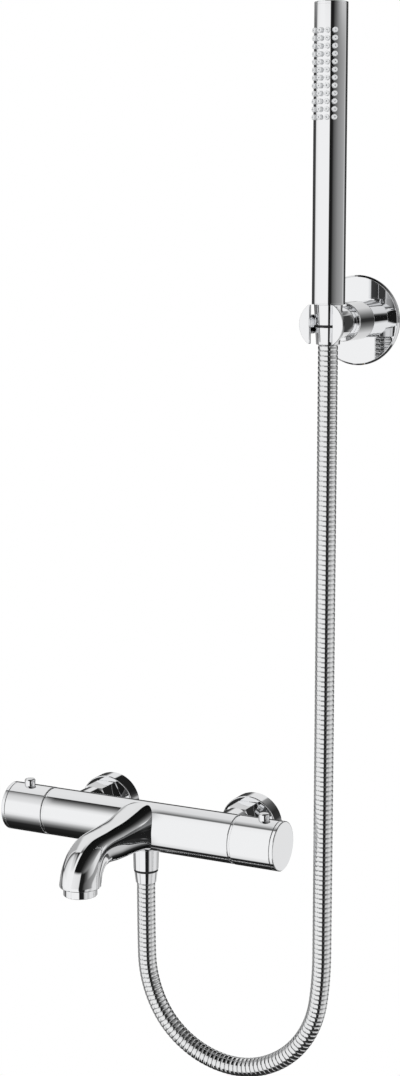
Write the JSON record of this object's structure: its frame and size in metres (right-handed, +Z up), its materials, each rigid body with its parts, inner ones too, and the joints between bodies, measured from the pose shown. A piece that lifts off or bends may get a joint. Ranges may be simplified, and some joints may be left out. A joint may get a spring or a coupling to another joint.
{
  "type": "thermostatic bath and shower mixer",
  "caption": "Wall-mounted thermostatic bath mixer with a downturned spout, knob handles with push buttons, a ribbed hose and a stick handset in a wall holder.",
  "frame": {"origin": "on the wall plane midway between the two wall inlets", "axes": "+X to the right as seen from the room, -Y into the room, +Z up"},
  "size_m": [0.3506, 0.2438, 0.9488],
  "materials": {
    "chrome": "polished",
    "hose_steel": "polished ribs",
    "brass": "machined",
    "steel": "zinc plated",
    "rubber": "matt",
    "plastic": "moulded",
    "silicone": "soft matt"
  },
  "bodies": {
    "mixer": {"body_casting": "chrome", "escutcheon_left": "chrome", "escutcheon_right": "chrome", "s_union_left": "brass", "s_union_right": "brass", "union_nuts": "chrome", "inlet_nipples": "brass", "inlet_washers": "rubber", "inlet_check_valves": "plastic", "flow_cartridge": "brass", "temperature_cartridge": "brass", "cartridge_seals": "rubber", "cartridge_nuts": "brass", "stop_rings": "chrome", "aerator_ring": "chrome", "aerator_insert": "plastic", "aerator_seal": "rubber", "outlet_check_valve": "plastic", "lower_hose_nut": "chrome", "lower_hose_washer": "rubber", "lower_hose_insert": "brass", "lower_dark_ring": "rubber", "lower_ferrule": "chrome", "hose": "hose_steel", "wall_plate": "steel", "fixing_screws": "steel", "wall_plugs": "plastic", "rosette": "chrome", "post": "chrome", "post_grub_screw": "steel"},
    "flow_handle": {"flow_handle_shell": "chrome", "flow_handle_cap": "chrome", "flow_spindle": "brass", "flow_handle_screw": "steel", "flow_button_spring": "steel"},
    "flow_button": {"flow_button": "chrome"},
    "temperature_handle": {"temperature_handle_shell": "chrome", "temperature_handle_cap": "chrome", "temperature_spindle": "brass", "temperature_handle_screw": "steel", "temperature_button_spring": "steel"},
    "temperature_button": {"temperature_button": "chrome"},
    "holder": {"holder": "chrome", "pivot_washer": "plastic", "pivot_screw": "steel"},
    "handset": {"handset_tube": "chrome", "handset_cap": "chrome", "handset_tail": "chrome", "flow_limiter": "plastic", "nozzle_mat": "silicone", "upper_hose_washer": "rubber"},
    "hose_end": {"upper_hose_nut": "chrome", "upper_dark_ring": "rubber", "upper_ferrule": "chrome", "upper_hose_insert": "brass"}
  },
  "joints": [
    {"name": "flow_turn", "type": "hinge", "parent": "mixer", "child": "flow_handle", "pos_m": [-0.121, -0.079, 0.0075], "axis": [-1, 0, 0], "range_deg": [-90, 90]},
    {"name": "flow_press", "type": "slide", "parent": "flow_handle", "child": "flow_button", "axis": [0, 0, -1], "range_m": [0, 0.0025], "stiffness_N_per_m": 800, "springref_m": -0.002, "deforming": ["flow_button_spring"]},
    {"name": "temperature_turn", "type": "hinge", "parent": "mixer", "child": "temperature_handle", "pos_m": [0.121, -0.079, 0.0075], "axis": [1, 0, 0], "range_deg": [-190, 80]},
    {"name": "temperature_press", "type": "slide", "parent": "temperature_handle", "child": "temperature_button", "axis": [0, 0, -1], "range_m": [0, 0.0025], "stiffness_N_per_m": 800, "springref_m": -0.002, "deforming": ["temperature_button_spring"]},
    {"name": "holder_swivel", "type": "hinge", "parent": "mixer", "child": "holder", "pos_m": [0.172, -0.0348, 0.4658], "axis": [0, -1, 0], "range_deg": [-30, 30], "deforming": ["hose"]},
    {"name": "handset_lift", "type": "slide", "parent": "holder", "child": "handset", "axis": [0, 0, 1], "range_m": [0, 0.06], "deforming": ["hose"]},
    {"name": "hose_end_turn", "type": "hinge", "parent": "handset", "child": "hose_end", "pos_m": [0.172, -0.0657, 0.465], "axis": [0, 0, 1], "continuous": true}
  ]
}
